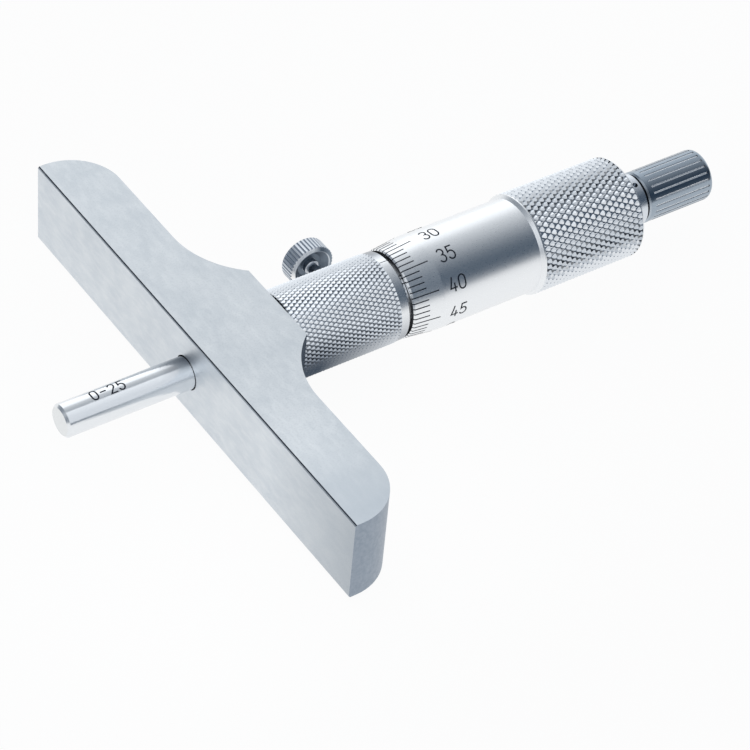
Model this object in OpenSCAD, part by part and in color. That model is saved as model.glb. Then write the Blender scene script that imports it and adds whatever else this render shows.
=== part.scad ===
// Depth gauge of the micrometer kind, 0 to 25 mm, lying on its side.
// The rod's axis is Y: the rod leaves the measuring face towards -Y and the ratchet is at the +Y end.
// The origin is on the rod's axis at the measuring face, X runs along the base and Z through its thickness.

/* [Reading] */
// Depth range of the gauge
travel = 25; // [20:1:25]
// Depth that it reads at rest, which is how far the rod stands out
reading = 24.318; // [18:0.25:24.5]
// Room left between the thimble and the collar at the full reading
stop_gap = 0.12; // [0.1:0.02:0.3]

/* [Base] */
// Length of the measuring face
base_len = 101.5; // [90:0.5:110]
// Thickness of the base
base_thick = 16.5; // [15:0.5:18]
// Depth of the two wings behind the measuring face
wing_depth = 11; // [10:0.5:13]
// Radius of each rounded end
end_r = 9.5; // [8:0.5:10]
// Depth of the base at its neck
neck_depth = 17.7; // [16.5:0.1:19]
// Width of the neck's rear face
neck_w = 18.4; // [17:0.2:20]
// Radius of the hollow shoulder between wing and neck
shoulder_r = 17.5; // [14:0.5:20]
// Chamfer along both long edges of the measuring face
edge_bevel = 0.3; // [0.2:0.05:0.5]
// Steel left between the measuring face and the barrel's socket
face_wall = 2.5; // [2:0.1:3.5]
// Radius of the hole that the rod leaves through
rod_hole_r = 3.2; // [3.15:0.05:3.4]

/* [Measuring rod] */
// Radius of the rod's ground end
rod_r = 3; // [2.8:0.05:3]
// Depth of the relief behind the ground end
rod_relief = 0.05; // [0.03:0.01:0.08]
// Chamfer at the rod's measuring end
rod_bevel = 0.45; // [0.3:0.05:0.6]
// Length of the nut that sets the rod's zero
zero_nut_len = 2.7; // [2:0.1:3]
// Length of the nut that locks it
lock_nut_len = 2.5; // [2:0.1:3]
// Radius of both nuts
rod_nut_r = 4; // [3.9:0.05:4.05]
// Width of the spanner slots in the nuts
nut_slot_w = 1; // [0.8:0.1:1.4]
// Depth of the spanner slots in the nuts
nut_slot_depth = 0.9; // [0.6:0.1:1]

/* [Barrel and sleeve] */
// Radius of the barrel's plain part
barrel_r = 5.8; // [5.7:0.05:6]
// Radius of the barrel's split nut
split_nut_r = 6.4; // [6.3:0.05:6.5]
// Length of the split nut
split_nut_len = 12.7; // [11:0.1:14]
// Width of the saw cuts that let the nut close up
saw_w = 0.5; // [0.4:0.05:0.8]
// Length of the saw cuts
saw_len = 8; // [6:0.5:10]
// Number of saw cuts
saw_cuts = 3; // [2:1:4]
// Radius of the graduated sleeve
sleeve_r = 7.3; // [7.2:0.02:7.34]
// Length of the sleeve that is seated in the collar
sleeve_seat = 4.15; // [3.5:0.05:4.5]
// Length of the sleeve past its last graduation
sleeve_over = 1.2; // [1:0.1:1.8]
// Radius of the ring nut that takes up the thread's wear
wear_nut_r = 7.15; // [7.05:0.05:7.2]
// Length of the ring nut
wear_nut_len = 6.2; // [4:0.2:6.4]
// Radius of the spanner hole in the ring nut
wear_hole_r = 0.5; // [0.4:0.05:0.7]
// Radius of the set screw that holds the barrel in the base
set_screw_r = 1.5; // [1.3:0.1:1.8]
// Radius of its hexagon socket, over the corners
set_socket_r = 0.85; // [0.7:0.05:1]
// Depth of its hexagon socket
set_socket_depth = 1.1; // [0.8:0.1:1.3]
// Depth that it sits below the base's underside
set_sink = 0.35; // [0.2:0.05:0.6]

/* [Collar] */
// Radius of the collar
collar_r = 8.3; // [8.2:0.05:8.6]
// Length of the collar
collar_len = 22.45; // [22:0.05:24]
// Width of the plain ring at its rear end
collar_ring_w = 1.75; // [1.2:0.05:2.2]
// Depth that the plain ring lies below the knurling
ring_step = 0.15; // [0.05:0.05:0.2]
// Chamfer of the plain ring
collar_bevel = 0.15; // [0.1:0.05:0.3]
// Depth of the shadow groove against the neck
neck_groove_depth = 0.4; // [0.2:0.05:0.6]
// Width of the shadow groove
neck_groove_w = 0.4; // [0.3:0.05:0.8]

/* [Thimble] */
// Radius of the thimble's front edge
front_r = 8.2; // [8.1:0.05:8.4]
// Chamfer of the front edge
front_bevel = 0.25; // [0.1:0.05:0.4]
// Radius of the thimble's smooth body
body_r = 8.82; // [8.7:0.02:9]
// Radius over the knurling
knurl_r = 9.5; // [9.3:0.05:9.8]
// Length of the graduated bevel
bevel_len = 6.15; // [5.5:0.05:7]
// Distance from the front edge to the knurled shoulder
smooth_len = 26.7; // [25:0.1:28]
// Length of the bright chamfer at the knurled shoulder
shoulder_len = 0.55; // [0.4:0.05:0.8]
// Length of the whole thimble
thimble_len = 49.15; // [48.5:0.05:51]
// Chamfer at the knurled rear edge
knurl_bevel = 0.25; // [0.2:0.05:0.5]
// Radius of the thimble's bore
thimble_bore_r = 7.45; // [7.42:0.01:7.55]
// Room between the split nut and the thimble's hub at the full reading
hub_gap = 2; // [1:0.1:2.5]

/* [Spindle] */
// Radius of the hollow spindle and of its thread
spindle_r = 4.4; // [4.3:0.02:4.5]
// Radius of its small end, inside the thimble's hub
taper_r = 4.1; // [4.05:0.01:4.2]
// Depth of the groove where the thread starts
thread_groove_depth = 0.3; // [0.2:0.05:0.4]
// Width of that groove
thread_groove_w = 1; // [0.6:0.1:1.2]
// Plain length kept between the lock and the thread
thread_margin = 0.8; // [0.5:0.1:1.2]

/* [Ratchet] */
// Radius of the ratchet's housing
housing_r = 4.9; // [4.85:0.01:5.1]
// Length of the housing that stands out behind the thimble
housing_len = 4.35; // [4:0.05:5]
// Wall of the housing round the rod's nuts
housing_wall = 0.7; // [0.65:0.01:0.75]
// Radius of the spanner holes in the housing
spanner_hole_r = 0.5; // [0.4:0.05:0.6]
// Distance from these holes to the housing's rear edge
spanner_hole_pos = 0.95; // [0.8:0.05:1.2]
// Depth of the spanner holes
spanner_hole_depth = 1.5; // [1:0.1:2]
// Number of spanner holes
spanner_holes = 2; // [1:1:4]
// Black gap between the housing and the knob
knob_gap = 0.65; // [0.4:0.05:0.9]
// Radius of the ratchet knob
knob_r = 4.85; // [4.8:0.05:5.1]
// Length of the ratchet knob
knob_len = 14.6; // [14:0.05:16]
// Width of the plain ring at the knob's front
knob_ring_w = 1.3; // [1:0.1:1.8]
// Chamfer at the knob's front
knob_front_bevel = 0.3; // [0.2:0.05:0.4]
// Rounding of the knob's rear edge
knob_round = 0.8; // [0.4:0.05:0.9]
// Number of flutes round the knob
knob_flutes = 24; // [18:1:28]
// Radius of the cutter that makes each flute
flute_r = 0.2; // [0.15:0.01:0.3]
// Depth of each flute
flute_depth = 0.16; // [0.1:0.01:0.2]
// Plain length behind the flutes
flute_margin = 1; // [0.95:0.05:1.6]
// Radius of the bore inside the knob
knob_bore_r = 3.9; // [3.85:0.01:3.95]
// Length of the web that the ratchet screw passes through
knob_web = 2; // [1.5:0.1:2.5]
// Radius of the recess for the screw's head
head_recess_r = 2.6; // [2.5:0.05:2.8]
// Depth of that recess
head_recess_depth = 3.65; // [3.2:0.05:4]
// Number of ratchet teeth
ratchet_teeth = 12; // [12:12:12]
// Height of the ratchet teeth
tooth_h = 0.45; // [0.35:0.05:0.5]
// Inner radius of the toothed ring
tooth_ring_bore = 2.4; // [2.2:0.05:2.6]
// Outer radius of the toothed ring
tooth_ring_r = 3.8; // [3.7:0.01:3.82]
// Length of the toothed ring without its teeth
tooth_ring_len = 1.6; // [1.4:0.1:1.9]
// Length of the sliding clutch ring without its teeth
clutch_len = 2.4; // [2:0.1:2.8]
// Width of the clutch ring's two keys
key_w = 1; // [0.8:0.05:1.2]
// Height of the keys above the clutch ring
key_h = 0.35; // [0.3:0.01:0.4]
// Radius of the spring's coil, to the middle of its wire
spring_r = 1.9; // [1.8:0.05:2.1]
// Radius of the spring's wire
wire_r = 0.2; // [0.16:0.01:0.22]
// Number of turns of the spring
spring_turns = 5; // [4:1:6]
// Radius of the ratchet screw's shank
shank_r = 1; // [0.9:0.05:1.1]
// Radius of its head
head_r = 2; // [1.8:0.05:2.2]
// Length of its head
head_len = 1.7; // [1.4:0.1:2]
// Width of its driver slot
driver_w = 0.6; // [0.4:0.05:0.8]
// Depth of its driver slot
driver_depth = 0.8; // [0.5:0.05:1]
// Radius of the washer under its head
washer_r = 2.35; // [2.3:0.05:2.45]
// Thickness of the washer
washer_t = 0.4; // [0.3:0.05:0.5]

/* [Lock screw] */
// Distance from the neck to the lock screw's axis
lock_pos = 15.5; // [14.5:0.1:16]
// Radius of the lock screw's thread
lock_r = 1.45; // [1.3:0.05:1.6]
// Room between the lock's shoe and the spindle when it is loose
lock_room = 0.15; // [0.12:0.01:0.25]
// Length of the brass shoe
shoe_len = 2.2; // [1.8:0.1:2.6]
// Radius of the thin neck between the thread and the knob
lock_neck_r = 1; // [0.8:0.05:1.1]
// Distance from the collar to the neck
lock_neck_pos = 1.2; // [0.8:0.1:2]
// Distance from the collar to the knob's inner edge
lock_stand = 3.83; // [3:0.05:5]
// Radius of the lock knob
lock_knob_r = 4.35; // [4:0.05:4.8]
// Thickness of the lock knob
lock_knob_t = 3.4; // [3:0.05:3.8]
// Chamfer at the knob's outer rim
lock_knob_bevel = 0.2; // [0.1:0.05:0.3]
// Number of grooves round the lock knob
lock_grooves = 39; // [32:1:42]
// Radius of the cutter that makes each groove
lock_groove_r = 0.17; // [0.12:0.01:0.2]
// Drop of the inner rim, which slopes away from the recess
lock_rim_drop = 0.35; // [0.2:0.05:0.6]
// Radius of the dished recess under the knob
lock_recess_r = 3.45; // [3:0.05:3.6]
// Chamfer round the recess
lock_recess_bevel = 0.12; // [0.05:0.01:0.2]
// Depth of that recess
lock_recess_depth = 1.2; // [0.9:0.1:1.6]
// Radius of the recess's flat floor
lock_floor_r = 2.3; // [1.9:0.1:2.8]
// Radius of the boss in the recess
lock_boss_r = 1.4; // [1.3:0.05:1.8]
// Distance that the boss ends below the knob's inner edge
lock_boss_sink = 0.1; // [0:0.05:0.4]
// Chamfer at the boss's end
lock_boss_bevel = 0.15; // [0.05:0.05:0.2]

/* [Fits] */
// Radial room of a running fit
run_fit = 0.05; // [0.03:0.01:0.08]
// Radial room of parts that are screwed or pressed together
still_fit = 0.02; // [0.01:0.01:0.03]
// Face to face room between parts that turn on each other
face_fit = 0.05; // [0.04:0.01:0.1]

/* [Hidden] */
$fn = 96;
overrun = 1;
left = travel - reading;
half_len = base_len / 2;
half_thick = base_thick / 2;

// Stations along Y on the still side
collar_end = neck_depth + collar_len;
lock_y = neck_depth + lock_pos;
sleeve_start = collar_end - sleeve_seat;
sleeve_end = collar_end + stop_gap + travel + sleeve_over;
plain_end = lock_y + lock_r + thread_margin;
split_start = plain_end + travel + thread_groove_w / 2;
barrel_end = split_start + split_nut_len;
wear_nut_start = sleeve_end + stop_gap;

// Stations along Y on the moving side, at the rest reading
thimble_start = collar_end + stop_gap + left;
thimble_end = thimble_start + thimble_len;
knurl_start = thimble_start + smooth_len;
hub_start = barrel_end + hub_gap + left;
spindle_start = face_wall + stop_gap + left;
thread_start = plain_end + left;
rod_nut_total = zero_nut_len + lock_nut_len;
socket_depth = rod_nut_total + face_fit + housing_wall;
spindle_end = thimble_end - socket_depth;
zero_nut_end = spindle_end + zero_nut_len;
lock_nut_end = zero_nut_end + lock_nut_len;
rod_inner_r = rod_r - rod_relief;
rod_end = lock_nut_end - rod_bevel;
housing_web = lock_nut_end + face_fit;
housing_front = spindle_end + housing_wall;
housing_end = thimble_end + housing_len;

// Stations along Y in the ratchet
knob_start = housing_end + knob_gap;
knob_end = knob_start + knob_len;
ring_face = housing_end + tooth_ring_len;
clutch_start = ring_face + tooth_h + face_fit;
clutch_end = clutch_start + clutch_len;
recess_start = knob_end - head_recess_depth;
web_start = recess_start - knob_web;
washer_start = recess_start + face_fit;
head_start = washer_start + washer_t;
head_end = head_start + head_len;
tooth_pitch = 360 / ratchet_teeth;
tooth_share = 0.96;
tooth_w = tooth_share * 2 * (tooth_ring_bore + still_fit) * sin(tooth_pitch / 2);
hub_neck_r = tooth_ring_bore;
clutch_r = tooth_ring_r - run_fit;
keyway_r = clutch_r + key_h + run_fit;
// One spanner hole shows above the knurled rear edge at this angle from +X towards +Z
spanner_angle = 74;
// The first flute of the knob lies at this angle from +X towards +Z
flute_angle = 12.5;
// Steps in the rounding of the knob's rear edge
round_steps = 6;

// Stations of the lock, measured outwards from the rod's axis along -X
shoe_in = spindle_r + lock_room;
shoe_out = shoe_in + shoe_len;
lock_knob_in = collar_r + lock_stand;
lock_knob_out = lock_knob_in + lock_knob_t;
lock_floor = lock_knob_in + lock_recess_depth;
lock_cap_share = 0.5;
lock_stem_end = lock_floor + (lock_knob_out - lock_floor) * lock_cap_share;

// Shoulder arcs: their centre stands clear of the neck's corner
shoulder_y = wing_depth + shoulder_r;
shoulder_x = neck_w / 2 + sqrt(pow(shoulder_r, 2) - pow(shoulder_y - neck_depth, 2));

// Shape of the spring's path
ring_steps = 12;
wire_sides = 6;
spring_low = clutch_end + wire_r + face_fit;
spring_high = web_start - wire_r - face_fit;
spring_pitch = (spring_high - spring_low) / spring_turns;
spring_gap = spring_pitch - 2 * wire_r;
echo(spring_gap = spring_gap);

// A solid of revolution round the rod's axis, from points of radius and place along Y
module turned(profile) {
    rotate([-90, 0, 0]) rotate_extrude() polygon(profile);
}

// A plain cylinder round the rod's axis
module shaft(r, from, to) {
    translate([0, from, 0]) rotate([-90, 0, 0]) cylinder(r = r, h = to - from);
}

// A plain cylinder on the lock's axis, outwards along -X
module lock_shaft(r, from, to) {
    translate([-from, lock_y, 0]) rotate([0, -90, 0]) cylinder(r = r, h = to - from);
}

// The base seen from above: rounded wings, hollow shoulders and a square neck
module base_outline() {
    difference() {
        union() {
            intersection() {
                for (side = [-1, 1]) {
                    translate([side * (half_len - end_r), wing_depth - end_r]) circle(r = end_r);
                }
                translate([-half_len, 0]) square([base_len, wing_depth]);
            }
            translate([-half_len, 0]) square([base_len, wing_depth - end_r]);
            translate([end_r - half_len, 0]) square([base_len - 2 * end_r, wing_depth]);
            translate([-shoulder_x, 0]) square([2 * shoulder_x, neck_depth]);
        }
        for (side = [-1, 1]) {
            translate([side * shoulder_x, shoulder_y]) circle(r = shoulder_r);
        }
    }
}

// Material taken off one long edge of the measuring face
module face_edge_cut() {
    rotate([45, 0, 0]) {
        cube([base_len + overrun, edge_bevel * sqrt(2), edge_bevel * sqrt(2)], center = true);
    }
}

module base_plate() {
    color("lightslategray") difference() {
        linear_extrude(height = base_thick, center = true) base_outline();
        for (side = [-1, 1]) {
            translate([0, 0, side * half_thick]) face_edge_cut();
        }
        shaft(rod_hole_r, -overrun, face_wall + overrun);
        shaft(barrel_r + still_fit, face_wall, neck_depth + overrun);
        translate([0, neck_depth / 2, -half_thick - overrun]) {
            cylinder(r = set_screw_r + still_fit, h = half_thick);
        }
    }
}

module knurled_collar() {
    groove_r = collar_r - neck_groove_depth;
    ring_r = collar_r - ring_step;
    ring_start = collar_end - collar_ring_w;
    bore = barrel_r + still_fit;
    seat = sleeve_r + still_fit;
    color("silver") difference() {
        turned([
            [bore, neck_depth], [groove_r, neck_depth],
            [groove_r, neck_depth + neck_groove_w], [collar_r, neck_depth + neck_groove_w],
            [collar_r, ring_start], [ring_r, ring_start],
            [ring_r, collar_end - collar_bevel], [ring_r - collar_bevel, collar_end],
            [seat, collar_end], [seat, sleeve_start], [bore, sleeve_start]
        ]);
        lock_shaft(lock_r + run_fit, spindle_r, collar_r + overrun);
    }
}

module inner_barrel() {
    bore = spindle_r + run_fit;
    color("gray") difference() {
        turned([
            [bore, face_wall], [barrel_r, face_wall],
            [barrel_r, split_start], [split_nut_r, split_start],
            [split_nut_r, barrel_end], [bore, barrel_end]
        ]);
        lock_shaft(lock_r + run_fit, 0, collar_r);
        for (turn = [0 : saw_cuts - 1]) {
            rotate([0, turn * 360 / saw_cuts, 0]) {
                translate([-saw_w / 2, barrel_end - saw_len, 0]) {
                    cube([saw_w, saw_len + overrun, split_nut_r + overrun]);
                }
            }
        }
    }
}

module barrel_set_screw() {
    low = -half_thick + set_sink;
    color("dimgray") difference() {
        translate([0, neck_depth / 2, low]) cylinder(r = set_screw_r, h = -barrel_r - still_fit - low);
        translate([0, neck_depth / 2, low - overrun]) {
            cylinder(r = set_socket_r, h = set_socket_depth + overrun, $fn = 6);
        }
    }
}

module graduated_sleeve() {
    bore = barrel_r + still_fit;
    wide_bore = split_nut_r + still_fit;
    color("gainsboro") turned([
        [bore, sleeve_start], [sleeve_r, sleeve_start],
        [sleeve_r, sleeve_end], [wide_bore, sleeve_end],
        [wide_bore, split_start - still_fit], [bore, split_start - still_fit]
    ]);
}

module wear_nut() {
    color("darkgray") difference() {
        shaft(wear_nut_r, wear_nut_start, wear_nut_start + wear_nut_len);
        shaft(split_nut_r + still_fit, wear_nut_start - overrun, wear_nut_start + wear_nut_len + overrun);
        translate([0, wear_nut_start + wear_nut_len / 2, 0]) {
            cylinder(r = wear_hole_r, h = wear_nut_r + overrun);
        }
    }
}

module measuring_rod() {
    color("lightsteelblue") turned([
        [0, -reading], [rod_r - rod_bevel, -reading],
        [rod_r, rod_bevel - reading], [rod_r, left],
        [rod_inner_r, left + rod_relief], [rod_inner_r, rod_end], [0, rod_end]
    ]);
}

// A round nut on the rod's rear end with two spanner slots in its rear face
module rod_nut(from, to) {
    difference() {
        shaft(rod_nut_r, from, to);
        shaft(rod_inner_r + still_fit, from - overrun, to + overrun);
        translate([-rod_nut_r - overrun, to - nut_slot_depth, -nut_slot_w / 2]) {
            cube([2 * (rod_nut_r + overrun), nut_slot_depth + overrun, nut_slot_w]);
        }
    }
}

module rod_zero_nut() {
    color("darkgray") rod_nut(spindle_end, zero_nut_end);
}

module rod_lock_nut() {
    color("gray") rod_nut(zero_nut_end, lock_nut_end);
}

module spindle() {
    bore = rod_r + run_fit;
    groove_r = spindle_r - thread_groove_depth;
    color("silver") turned([
        [bore, spindle_start], [spindle_r, spindle_start],
        [spindle_r, thread_start], [groove_r, thread_start],
        [groove_r, thread_start + thread_groove_w], [spindle_r, thread_start + thread_groove_w],
        [spindle_r, hub_start], [taper_r, spindle_end], [bore, spindle_end]
    ]);
}

module thimble() {
    socket_r = housing_r + still_fit;
    color("gainsboro") turned([
        [thimble_bore_r, thimble_start], [front_r - front_bevel, thimble_start],
        [front_r, thimble_start + front_bevel],
        [body_r, thimble_start + bevel_len], [body_r, knurl_start],
        [knurl_r, knurl_start + shoulder_len], [knurl_r, thimble_end - knurl_bevel],
        [knurl_r - knurl_bevel, thimble_end], [socket_r, thimble_end],
        [socket_r, spindle_end], [taper_r + still_fit, spindle_end],
        [spindle_r + still_fit, hub_start], [thimble_bore_r, hub_start]
    ]);
}

module ratchet_housing() {
    hole = shank_r + still_fit;
    cup_r = housing_r - housing_wall;
    hole_y = housing_end - spanner_hole_pos;
    color("slategray") difference() {
        turned([
            [cup_r, housing_front], [housing_r, housing_front],
            [housing_r, housing_end], [hub_neck_r, housing_end],
            [hub_neck_r, ring_face], [hole, ring_face],
            [hole, housing_web], [cup_r, housing_web]
        ]);
        for (turn = [0 : spanner_holes - 1]) {
            rotate([0, -spanner_angle - turn * 360 / spanner_holes, 0]) {
                translate([housing_r - spanner_hole_depth, hole_y, 0]) rotate([0, 90, 0]) {
                    cylinder(r = spanner_hole_r, h = spanner_hole_depth + overrun);
                }
            }
        }
    }
}

// One row of saw teeth: profile is drawn as width against height and runs from the bore to the rim
module teeth(profile) {
    intersection() {
        union() {
            for (turn = [0 : ratchet_teeth - 1]) {
                rotate([0, turn * tooth_pitch, 0]) translate([-tooth_w / 2, ring_face, 0]) {
                    linear_extrude(height = tooth_ring_r) polygon(profile);
                }
            }
        }
        difference() {
            shaft(clutch_r, ring_face - overrun, clutch_start + overrun);
            shaft(tooth_ring_bore + still_fit, ring_face - 2 * overrun, clutch_start + 2 * overrun);
        }
    }
}

module ratchet_ring() {
    color("darkgray") union() {
        difference() {
            shaft(tooth_ring_r, housing_end, ring_face);
            shaft(hub_neck_r + still_fit, housing_end - overrun, ring_face + overrun);
        }
        teeth([[0, -tooth_h], [tooth_w, -tooth_h], [tooth_w, tooth_h], [0, 0]]);
    }
}

module clutch_ring() {
    top = clutch_start + tooth_h;
    color("peru") union() {
        difference() {
            union() {
                shaft(clutch_r, clutch_start, clutch_end);
                translate([-clutch_r - key_h, clutch_start, -key_w / 2]) {
                    cube([2 * (clutch_r + key_h), clutch_len, key_w]);
                }
            }
            shaft(shank_r + run_fit, clutch_start - overrun, clutch_end + overrun);
        }
        teeth([
            [0, face_fit], [tooth_w, tooth_h + face_fit],
            [tooth_w, top - ring_face], [0, top - ring_face]
        ]);
    }
}

module ratchet_screw() {
    color("dimgray") difference() {
        union() {
            shaft(shank_r, housing_web + face_fit, head_start);
            shaft(head_r, head_start, head_end);
        }
        translate([-head_r - overrun, head_end - driver_depth, -driver_w / 2]) {
            cube([2 * (head_r + overrun), driver_depth + overrun, driver_w]);
        }
    }
}

module screw_washer() {
    color("silver") difference() {
        shaft(washer_r, washer_start, head_start);
        shaft(shank_r + still_fit, washer_start - overrun, head_start + overrun);
    }
}

module ratchet_knob() {
    flute_centre = knob_r + flute_r - flute_depth;
    flute_start = knob_start + knob_ring_w;
    flute_end = knob_end - flute_margin;
    rear_edge = [for (step = [0 : round_steps])
        let (turn = 90 * step / round_steps)
        [knob_r - knob_round * (1 - cos(turn)), knob_end - knob_round * (1 - sin(turn))]];
    color("slategray") difference() {
        turned(concat([
            [knob_bore_r, knob_start], [knob_r - knob_front_bevel, knob_start],
            [knob_r, knob_start + knob_front_bevel]
        ], rear_edge, [
            [head_recess_r, knob_end],
            [head_recess_r, recess_start], [shank_r + run_fit, recess_start],
            [shank_r + run_fit, web_start], [knob_bore_r, web_start]
        ]));
        for (turn = [0 : knob_flutes - 1]) {
            rotate([0, -flute_angle - turn * 360 / knob_flutes, 0]) translate([flute_centre, 0, 0]) {
                shaft(flute_r, flute_start, flute_end);
            }
        }
        intersection() {
            translate([-keyway_r, knob_start - overrun, -key_w / 2 - run_fit]) {
                cube([2 * keyway_r, web_start - knob_start + overrun, key_w + 2 * run_fit]);
            }
            shaft(keyway_r, knob_start - overrun, web_start);
        }
    }
}

// Points of the wire's skin, one ring after another along the helix
function wire_point(step, side) =
    let (turn = 360 * step / ring_steps, corner = 360 * side / wire_sides)
    let (r = spring_r + wire_r * cos(corner), rise = spring_pitch * turn / 360 + wire_r * sin(corner))
    [r * cos(turn), spring_low + rise, r * sin(turn)];

module ratchet_spring() {
    rings = spring_turns * ring_steps;
    points = [for (step = [0 : rings]) for (side = [0 : wire_sides - 1]) wire_point(step, side)];
    skin = [for (step = [0 : rings - 1]) for (side = [0 : wire_sides - 1])
        let (a = step * wire_sides + side, b = step * wire_sides + (side + 1) % wire_sides)
        each [[a, b, a + wire_sides], [b, b + wire_sides, a + wire_sides]]];
    first = [for (side = [1 : wire_sides - 2]) [0, side + 1, side]];
    end = rings * wire_sides;
    last = [for (side = [1 : wire_sides - 2]) [end, end + side, end + side + 1]];
    color("steelblue") polyhedron(points = points, faces = concat(skin, first, last));
}

module lock_shoe() {
    color("goldenrod") lock_shaft(lock_r, shoe_in, shoe_out);
}

module lock_screw() {
    neck_start = collar_r + lock_neck_pos;
    color("gray") union() {
        lock_shaft(lock_r, shoe_out, neck_start);
        lock_shaft(lock_neck_r, neck_start, lock_stem_end);
    }
}

module lock_knob() {
    boss_end = lock_knob_in + lock_boss_sink;
    color("lightslategray") difference() {
        translate([0, lock_y, 0]) rotate([0, -90, 0]) rotate_extrude() polygon([
            [0, boss_end], [lock_boss_r - lock_boss_bevel, boss_end],
            [lock_boss_r, boss_end + lock_boss_bevel],
            [lock_boss_r, lock_floor], [lock_floor_r, lock_floor],
            [lock_recess_r, lock_knob_in + lock_recess_bevel],
            [lock_recess_r + lock_recess_bevel, lock_knob_in],
            [lock_knob_r, lock_knob_in + lock_rim_drop], [lock_knob_r, lock_knob_out - lock_knob_bevel],
            [lock_knob_r - lock_knob_bevel, lock_knob_out], [0, lock_knob_out]
        ]);
        lock_shaft(lock_neck_r + still_fit, lock_knob_in - overrun, lock_stem_end);
        for (turn = [0 : lock_grooves - 1]) {
            translate([0, lock_y, 0]) rotate([turn * 360 / lock_grooves, 0, 0]) {
                translate([overrun - lock_knob_in, lock_knob_r, 0]) rotate([0, -90, 0]) {
                    cylinder(r = lock_groove_r, h = lock_knob_t + 2 * overrun);
                }
            }
        }
    }
}

base_plate();
knurled_collar();
inner_barrel();
barrel_set_screw();
graduated_sleeve();
wear_nut();
measuring_rod();
rod_zero_nut();
rod_lock_nut();
spindle();
thimble();
ratchet_housing();
ratchet_ring();
ratchet_screw();
screw_washer();
ratchet_knob();
clutch_ring();
ratchet_spring();
lock_shoe();
lock_screw();
lock_knob();
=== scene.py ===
"""Looks of a depth gauge of the micrometer kind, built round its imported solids.

Named sizes are in millimetres and turn into metres with MM. The rod's axis is Y, and an angle round it
is measured in degrees from +X towards +Z, so 90 is the top.
"""

import math
from collections import namedtuple

import bmesh
import bpy
from mathutils import Matrix, Vector


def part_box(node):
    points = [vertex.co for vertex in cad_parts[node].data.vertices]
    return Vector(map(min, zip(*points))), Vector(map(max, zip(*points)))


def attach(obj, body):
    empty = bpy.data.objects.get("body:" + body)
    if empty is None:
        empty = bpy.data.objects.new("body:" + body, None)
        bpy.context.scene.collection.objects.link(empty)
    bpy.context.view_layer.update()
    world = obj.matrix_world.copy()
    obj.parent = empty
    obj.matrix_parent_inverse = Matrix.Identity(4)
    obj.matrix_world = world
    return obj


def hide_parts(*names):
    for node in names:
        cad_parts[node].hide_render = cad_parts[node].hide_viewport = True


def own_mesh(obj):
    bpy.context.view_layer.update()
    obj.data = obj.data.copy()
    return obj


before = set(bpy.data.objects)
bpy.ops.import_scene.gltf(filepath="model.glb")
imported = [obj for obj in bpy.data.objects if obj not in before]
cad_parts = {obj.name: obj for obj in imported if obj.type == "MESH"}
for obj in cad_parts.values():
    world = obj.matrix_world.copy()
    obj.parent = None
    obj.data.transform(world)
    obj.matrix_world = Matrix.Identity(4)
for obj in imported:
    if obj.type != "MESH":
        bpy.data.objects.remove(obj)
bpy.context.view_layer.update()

MM = 0.001
TAU = 2 * math.pi


# Sizes taken from the frame

def corners(node):
    """Lowest and highest corner of a CAD node, in millimetres."""
    low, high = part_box(node)
    return [v / MM for v in low], [v / MM for v in high]


base_high = corners("base_plate")[1]
collar_low, collar_high = corners("knurled_collar")
sleeve_low, sleeve_high = corners("graduated_sleeve")
thimble_low, thimble_high = corners("thimble")
spindle_high = corners("spindle")[1]
housing_high = corners("ratchet_housing")[1]
rod_low, rod_high = corners("measuring_rod")
spring_low, spring_high = corners("ratchet_spring")
lock_low, lock_high = corners("lock_knob")
knob_low, knob_high = corners("ratchet_knob")

collar_start, collar_end, collar_r = collar_low[1], collar_high[1], collar_high[0]
thimble_start, thimble_end, grip_r = thimble_low[1], thimble_high[1], thimble_high[0]
sleeve_start, sleeve_r = sleeve_low[1], sleeve_high[0]
rod_tip, rod_r = rod_low[1], rod_high[0]
knob_start, knob_end, knob_r = knob_low[1], knob_high[1], knob_high[0]
lock_y, lock_r = (lock_low[1] + lock_high[1]) / 2, lock_high[2]
floor_level = thimble_low[2]

# Clearance between two pieces that are fixed to each other
still_fit = 0.02

# Reading: the thread moves half a millimetre a turn, and the thimble has 50 divisions
full_reading = 25
pitch = 0.5
divisions = 50
number_each = 5
index_angle = 90
index_value = (-rod_tip % pitch) / pitch * divisions

# Collar
barrel_r = 5.8
collar_groove_w = 0.4
collar_groove_depth = 0.4
collar_ring_w = 1.75
collar_ring_step = 0.15
collar_edge = 0.15
collar_bore_r = barrel_r + still_fit
collar_seat_r = sleeve_r + still_fit
collar_ring_start = collar_end - collar_ring_w
collar_ring_r = collar_r - collar_ring_step
collar_groove_end = collar_start + collar_groove_w

# Thimble
front_r = 8.2
front_edge = 0.25
body_r = 8.82
bevel_len = 6.15
smooth_len = 26.7
shoulder_len = 0.55
grip_edge = 0.1
grip_rim = 0.28
sleeve_gap = 0.15
thimble_bore_r = sleeve_r + sleeve_gap
hub_len = 7.83
hub_hole_r = 4.12
hub_bore_r = spindle_high[0] + still_fit
socket_r = housing_high[0] + still_fit
socket_start = 84.15
hub_start = socket_start - hub_len
bevel_end = thimble_start + bevel_len
shoulder_start = thimble_start + smooth_len
shoulder_end = shoulder_start + shoulder_len

# Knurls: a diamond's pad is a small raised facet round its tip, given as shares of its width and height
Knurl = namedtuple("Knurl", "top_r depth start end columns rows pad_share pad_height_share")
COLLAR_KNURL = Knurl(
    top_r=collar_r, depth=0.27, start=collar_groove_end, end=collar_ring_start,
    columns=61, rows=12, pad_share=0.16, pad_height_share=0.93)
THIMBLE_KNURL = Knurl(
    top_r=grip_r, depth=0.38, start=shoulder_end + grip_rim, end=thimble_end - grip_rim,
    columns=48, rows=10, pad_share=0.12, pad_height_share=0.95)
knurl_seat = 0.05

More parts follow.
